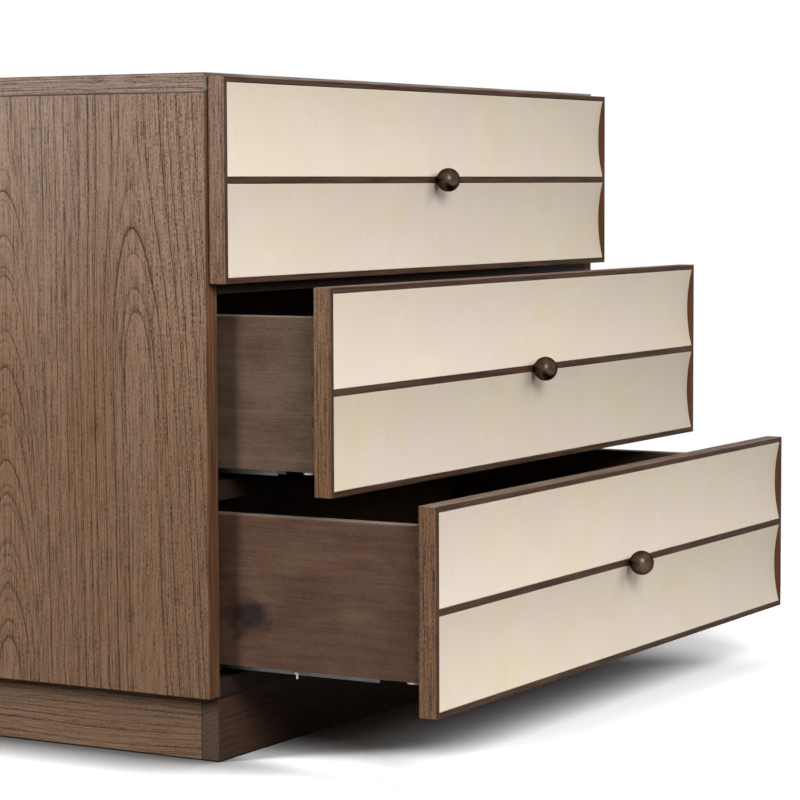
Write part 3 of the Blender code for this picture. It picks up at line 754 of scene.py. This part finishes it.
def screw_tree():
    """Geometry Nodes tree that sets a cross-head screw on each point of a mesh, along the point's facing."""
    tree = bpy.data.node_groups.new("cross_head_screws", "GeometryNodeTree")
    face = tree.interface
    face.new_socket("Points", in_out="INPUT", socket_type="NodeSocketGeometry")
    kinds = {"Head Height": "Float", "Recess Width": "Float", "Seed": "Int", "Finish": "Material"}
    for name, kind in kinds.items():
        face.new_socket(name, in_out="INPUT", socket_type=f"NodeSocket{kind}")
    face.new_socket("Screws", in_out="OUTPUT", socket_type="NodeSocketGeometry")
    bench = Bench(tree)
    given = bench.add("NodeGroupInput").outputs
    height = Field(bench, given["Head Height"])
    values = {"Vertices": SCREW_SIDES, "Radius Top": SCREW_TOP, "Radius Bottom": 0.5, "Depth": height}
    head = bench.add("GeometryNodeMeshCone", None, values).outputs["Mesh"]
    for size in ((SCREW_ARM, given["Recess Width"]), (given["Recess Width"], SCREW_ARM)):
        bar = bench.add("GeometryNodeMeshCube", None, {"Size": bench.vector(*size, height)}).outputs["Mesh"]
        raised = bench.vector(0.0, 0.0, height)
        bar = bench.add("GeometryNodeTransform", None, {"Geometry": bar, "Translation": raised}).outputs[0]
        carved = bench.add("GeometryNodeMeshBoolean", {"operation": "DIFFERENCE", "solver": "EXACT"})
        bench.feed(carved.inputs["Mesh 1"], head)
        bench.feed(carved.inputs["Mesh 2"], bar)
        head = carved.outputs["Mesh"]
    facing = bench.add("GeometryNodeInputNamedAttribute", {"data_type": "FLOAT_VECTOR"}, {"Name": "facing"})
    width = bench.add("GeometryNodeInputNamedAttribute", {"data_type": "FLOAT"}, {"Name": "width"})
    spin = bench.add("FunctionNodeRandomValue", None, {"Seed": given["Seed"]})
    angle = Field(bench, spin.outputs[1]) * math.pi
    straight = bench.add("FunctionNodeAlignRotationToVector", None, {"Vector": facing.outputs[0]}).outputs[0]
    values = {"Points": given["Points"], "Instance": head, "Rotation": straight, "Scale": width.outputs[0]}
    placed = bench.add("GeometryNodeInstanceOnPoints", None, values).outputs[0]
    values = {"Instances": placed, "Rotation": bench.vector(0.0, 0.0, angle)}
    placed = bench.add("GeometryNodeRotateInstances", None, values).outputs[0]
    solid = bench.add("GeometryNodeRealizeInstances", None, {"Geometry": placed}).outputs[0]
    dressed = bench.add("GeometryNodeSetMaterial", None, {"Geometry": solid, "Material": given["Finish"]})
    bench.feed(bench.add("NodeGroupOutput").inputs[0], dressed.outputs[0])
    return tree


def drive_screws(name, body, tree, points, material):
    """Set the screws of one body: each point is a place, a facing and a head width."""
    mesh = bpy.data.meshes.new(name)
    mesh.from_pydata([place for place, facing, width in points], [], [])
    mesh.attributes.new("facing", "FLOAT_VECTOR", "POINT")
    mesh.attributes.new("width", "FLOAT", "POINT")
    for index, (place, facing, width) in enumerate(points):
        mesh.attributes["facing"].data[index].vector = facing
        mesh.attributes["width"].data[index].value = width
    item = bpy.data.objects.new(name, mesh)
    bpy.context.scene.collection.objects.link(item)
    modifier = item.modifiers.new("screws", "NODES")
    modifier.node_group = tree
    given = {"Head Height": SCREW_HEAD, "Recess Width": SCREW_RECESS}
    given |= {"Seed": SCREW_TURNS, "Finish": material}
    for socket in tree.interface.items_tree:
        if socket.in_out == "INPUT" and socket.name in given:
            modifier[socket.identifier] = given[socket.name]
    graph = bpy.context.evaluated_depsgraph_get()
    made = bpy.data.meshes.new_from_object(item.evaluated_get(graph))
    item.modifiers.remove(modifier)
    item.data = made
    made.name = name
    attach(item, body)


def spaced(low, high, count):
    """Evenly spaced places from one end to the other."""
    return [low + (high - low) * step / (count - 1) for step in range(count)]


def cabinet_screws():
    """Places of the screws in the runners' flanges and round the back panel."""
    points = []
    for level in DRAWERS:
        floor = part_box(f"{level}_drawer_box_left")[0].z
        for side, sign in SIDES:
            low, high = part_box(f"{level}_drawer_runner_{side}_cabinet_member")
            wall = high.x if sign > 0 else -low.x
            for y in (low.y + RUNNER_SCREW_FRONT, (low.y + high.y) / 2, high.y - RUNNER_SCREW_BACK):
                place = (sign * (wall - RUNNER_SHEET), y, floor + RUNNER_SCREW_RISE)
                points.append((place, (-sign, 0.0, 0.0), RUNNER_SCREW_WIDTH))
    low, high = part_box("back_panel")
    inset = BACK_SCREW_INSET
    columns = spaced(low.x + inset, high.x - inset, BACK_SCREW_COLUMNS)
    rows = spaced(low.z + inset, high.z - inset, BACK_SCREW_ROWS)
    spots = [(x, z) for x in columns for z in (rows[0], rows[-1])]
    spots += [(x, z) for x in (columns[0], columns[-1]) for z in rows[1:-1]]
    sunk = SCREW_HEAD * BACK_SCREW_WIDTH - BACK_SCREW_PROUD
    points += [((x, high.y - sunk, z), (0.0, 1.0, 0.0), BACK_SCREW_WIDTH) for x, z in spots]
    return points


def drawer_screws(drawer):
    """Places of the screws inside a drawer: one behind the knob and four that hold the front."""
    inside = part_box(f"{drawer}_box_front")[1].y
    low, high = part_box(f"{drawer}_knob")
    knob = (low.z + high.z) / 2
    points = [((0.0, inside + WASHER_HEIGHT, knob), (0.0, 1.0, 0.0), FRONT_SCREW_WIDTH)]
    for x in (-FRONT_SCREW_ASIDE, FRONT_SCREW_ASIDE):
        for z in (knob - FRONT_SCREW_RISE, knob + FRONT_SCREW_RISE):
            points.append(((x, inside, z), (0.0, 1.0, 0.0), FRONT_SCREW_WIDTH))
    return points


def build_washer(drawer, material):
    """Washer under the screw that holds the knob."""
    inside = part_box(f"{drawer}_box_front")[1].y
    low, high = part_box(f"{drawer}_knob")
    shape = bmesh.new()
    turn(shape, WASHER_PROFILE, (0.0, inside, (low.z + high.z) / 2), "Y")
    as_piece(f"{drawer}_knob_washer", shape, material, drawer)


def build_glides(drawer, material):
    """Round glide buttons under the front of the box sides."""
    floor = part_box(f"{drawer}_box_left")[0].z
    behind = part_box(f"{drawer}_front_frame")[1].y + GLIDE_SETBACK
    shape = bmesh.new()
    for side, sign in SIDES:
        turn(shape, GLIDE_PROFILE, (sign * GLIDE_ASIDE, behind, floor), steps=GLIDE_ROUND_STEPS)
    as_piece(f"{drawer}_glides", shape, material, drawer)


def build_pins(drawer, material, dark):
    """Guide pins under the box sides: a dark seat, a round head and a stem that hangs from it."""
    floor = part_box(f"{drawer}_box_left")[0].z
    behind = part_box(f"{drawer}_front_frame")[1].y + PIN_SETBACK
    pins = bmesh.new()
    seats = bmesh.new()
    for side, sign in SIDES:
        place = Vector((sign * PIN_ASIDE, behind, floor))
        turn(pins, PIN_PROFILE, place)
        low = place - PIN_SEAT_REACH - Vector((0.0, 0.0, PIN_SEAT_HEIGHT))
        block(seats, low, place + PIN_SEAT_REACH, PIN_SEAT_EASE)
    as_piece(f"{drawer}_pins", pins, material, drawer)
    as_piece(f"{drawer}_pin_seats", seats, dark, drawer)


def dress_cabinet():
    """Veneers of the cabinet's boards and the wood of its back panel."""
    dress(["left_side"], side_veneer("left_side_veneer", LEFT_HEARTS, 2.0))
    dress(["right_side"], side_veneer("right_side_veneer", RIGHT_HEARTS, 5.0))
    dress(["top_board"], top_veneer())
    # Rails and bottom board take a near-black tone: painted shade under the drawers
    rails = board_veneer("rail_veneer_painted_shade", "X", 11.0, (0.0, 0.0), -0.5, RAIL_PAINTED_SHADE)
    dress(["bottom_board", "upper_divider_rail", "lower_divider_rail"], rails)
    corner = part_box("plinth_front")[0]
    pith = (corner.y + PLINTH_PITH[0], corner.z + PLINTH_PITH[1])
    # The plinth's front and back boards take a dark tone: painted shade, for the front's place under the
    # bottom drawer
    plinth_front = board_veneer("plinth_front_veneer_painted_shade", "X", 13.0, pith, -0.5, PLINTH_FRONT_PAINTED_SHADE)
    dress(["plinth_front", "plinth_back"], plinth_front)
    plinth_sides = board_veneer("plinth_side_veneer", "Y", 17.0, (0.3, 0.0), 0.2, PLINTH_WARM)
    dress(["plinth_left", "plinth_right"], plinth_sides)
    dress(["back_panel"], box_wood("back_panel_wood", "Z", 3.0, mottle=0.25))


def dress_drawers():
    """Woods of the fronts and boxes, and the parchment panels."""
    frame_wood = front_frame_wood()
    core_wood = box_wood("front_core_wood", "X", 9.0)
    bottom_wood = box_wood("box_bottom_wood", "X", 6.0, mottle=0.5, rim=0.15)
    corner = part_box("bottom_drawer_box_left")[0]
    along, rise, reach = BOTTOM_KNOT
    knots = {"bottom": (along, corner.x + corner.z + rise, reach)}
    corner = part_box("middle_drawer_box_left")[0]
    bands = {"middle": [corner.x + corner.z + rise for rise in MIDDLE_BANDS]}
    for index, level in enumerate(DRAWERS):
        drawer = f"{level}_drawer"
        dress([f"{drawer}_front_frame"], frame_wood)
        dress([f"{drawer}_front_board"], core_wood)
        marks = (knots.get(level), bands.get(level, ()))
        side_wood = box_wood(f"{drawer}_side_wood", "Y", 4.0 + index, BOX_REDNESS[level], *marks)
        end_wood = box_wood(f"{drawer}_end_wood", "X", 7.0 + index, BOX_REDNESS[level])
        dress([f"{drawer}_box_{side}" for side, sign in SIDES], side_wood)
        dress([f"{drawer}_box_{place}" for place in ("front", "back")], end_wood)
        dress([f"{drawer}_box_bottom"], bottom_wood)
        for number, half in enumerate(HALVES):
            seed = 3.1 * index + 1.7 * number + 20.0
            # Each panel's tone: painted light and shade for where it sits
            tone = PANEL_PAINTED_LIGHT.get((level, half), 1.0)
            build_panel(drawer, half, parchment(f"{drawer}_{half}_parchment", seed, tone))


def dress_metal():
    """Runners, knobs and the small fittings."""
    dark = bronze()
    plated = zinc("zinc_steel", *RUNNER_ZINC)
    bright = zinc("bright_zinc", *SCREW_ZINC)
    tree = screw_tree()
    drive_screws("cabinet_screws", "cabinet", tree, cabinet_screws(), bright)
    for level in DRAWERS:
        drawer = f"{level}_drawer"
        dress([f"{drawer}_runner_{side}_{part}" for side, sign in SIDES for part in MEMBERS], plated)
        build_knob(drawer, dark)
        drive_screws(f"{drawer}_screws", drawer, tree, drawer_screws(drawer), bright)
        build_washer(drawer, plated)
        build_glides(drawer, bright)
        build_pins(drawer, bright, dark)


def seen_rays(bench):
    """1 for rays that show the background: from the camera, a mirror or glass."""
    path = bench.add("ShaderNodeLightPath")
    seen = Field(bench, path.outputs["Is Camera Ray"])
    seen = seen.most(Field(bench, path.outputs["Is Glossy Ray"]))
    return seen.most(Field(bench, path.outputs["Is Transmission Ray"]))


def build_floor():
    """White floor that keeps the object's shadow and runs out into the white background; near the object its
    colour darkens with ambient occlusion, a painted contact shadow.
    """
    material, bench, shader = finish("floor_white")
    tree = material.node_tree
    settings = {"samples": CONTACT_SHADOW_SAMPLES}
    contact_shadow = bench.add("ShaderNodeAmbientOcclusion", settings, {"Distance": CONTACT_SHADOW_REACH})
    x, y, z = bench.place()
    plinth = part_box("plinth_left")[0].x
    past = x.rise(*(plinth + change for change in CONTACT_SHADOW_CHANGE))
    camera = Field(bench, bench.add("ShaderNodeLightPath").outputs["Is Camera Ray"])
    tone = FLOOR_SEEN_LEFT + past * camera * (FLOOR_SEEN - FLOOR_SEEN_LEFT)
    depth = CONTACT_SHADOW_DEPTH_LEFT + past * (CONTACT_SHADOW_DEPTH - CONTACT_SHADOW_DEPTH_LEFT)
    # Ambient occlusion darkens the floor's colour: painted contact shadow
    level = bench.math("POWER", contact_shadow.outputs["AO"], depth) * tone
    shown = bench.add("ShaderNodeBsdfDiffuse", None, {"Color": bench.vector(level, level, level)})
    lit = bench.add("ShaderNodeBsdfDiffuse", None, {"Color": (FLOOR_BOUNCE,) * 3})
    far = bench.add("ShaderNodeEmission", None, {"Color": WHITE, "Strength": 1.0})
    distance = (x * x + y * y).root().rise(*FLOOR_FADE)
    near = bench.add("ShaderNodeMixShader", None, {0: distance, 1: shown.outputs[0], 2: far.outputs[0]})
    seen = seen_rays(bench)
    mixed = bench.add("ShaderNodeMixShader", None, {0: seen, 1: lit.outputs[0], 2: near.outputs[0]})
    under = bench.add("ShaderNodeNewGeometry").outputs["Backfacing"]
    clear = bench.add("ShaderNodeBsdfTransparent")
    sided = bench.add("ShaderNodeMixShader", None, {0: under, 1: mixed.outputs[0], 2: clear.outputs[0]})
    bench.feed(tree.nodes["Material Output"].inputs["Surface"], sided.outputs[0])
    tree.nodes.remove(shader)
    shape = bmesh.new()
    bmesh.ops.create_grid(shape, x_segments=1, y_segments=1, size=FLOOR_SIZE)
    mesh = bpy.data.meshes.new("floor")
    shape.to_mesh(mesh)
    shape.free()
    mesh.materials.append(material)
    floor = bpy.data.objects.new("floor", mesh)
    bpy.context.scene.collection.objects.link(floor)


def build_lights():
    """Dim sky that is white where it is seen, and the lamps of the studio."""
    world = bpy.data.worlds.new("studio")
    bpy.context.scene.world = world
    world.use_nodes = True
    bench = Bench(world.node_tree)
    background = world.node_tree.nodes["Background"]
    background.inputs["Color"].default_value = WHITE
    height = bench.parts(bench.add("ShaderNodeTexCoord").outputs["Generated"])[2]
    sky = height.rise(*SKY_RISE) * (SKY_HIGH - SKY_LOW) + SKY_LOW
    seen = seen_rays(bench)
    bench.feed(background.inputs["Strength"], sky * (1.0 - seen) + seen)
    for name, (place, target, size, power, mirrored) in LAMPS.items():
        data = bpy.data.lights.new(name, "AREA")
        data.shape = "RECTANGLE"
        data.size, data.size_y = size
        data.energy = power
        lamp = bpy.data.objects.new(name, data)
        lamp.visible_glossy = mirrored
        lamp.visible_diffuse = not mirrored
        lamp.location = place
        lamp.rotation_euler = (Vector(target) - Vector(place)).to_track_quat("-Z", "Y").to_euler()
        bpy.context.scene.collection.objects.link(lamp)


def build_camera():
    """Camera at the photograph's viewing angle, for a square picture."""
    data = bpy.data.cameras.new("camera")
    data.lens = CAMERA_LENS
    data.sensor_width = CAMERA_SENSOR
    camera = bpy.data.objects.new("camera", data)
    camera.location = CAMERA_PLACE
    turned = Matrix.Rotation(-CAMERA_TURN, 3, "Z") @ Matrix.Rotation(math.pi / 2 + CAMERA_TILT, 3, "X")
    camera.rotation_euler = (turned @ Matrix.Rotation(CAMERA_ROLL, 3, "Z")).to_euler()
    bpy.context.scene.collection.objects.link(camera)
    bpy.context.scene.camera = camera


bpy.context.scene.view_settings.view_transform = "Standard"
dress_cabinet()
dress_drawers()
dress_metal()
build_floor()
build_lights()
build_camera()
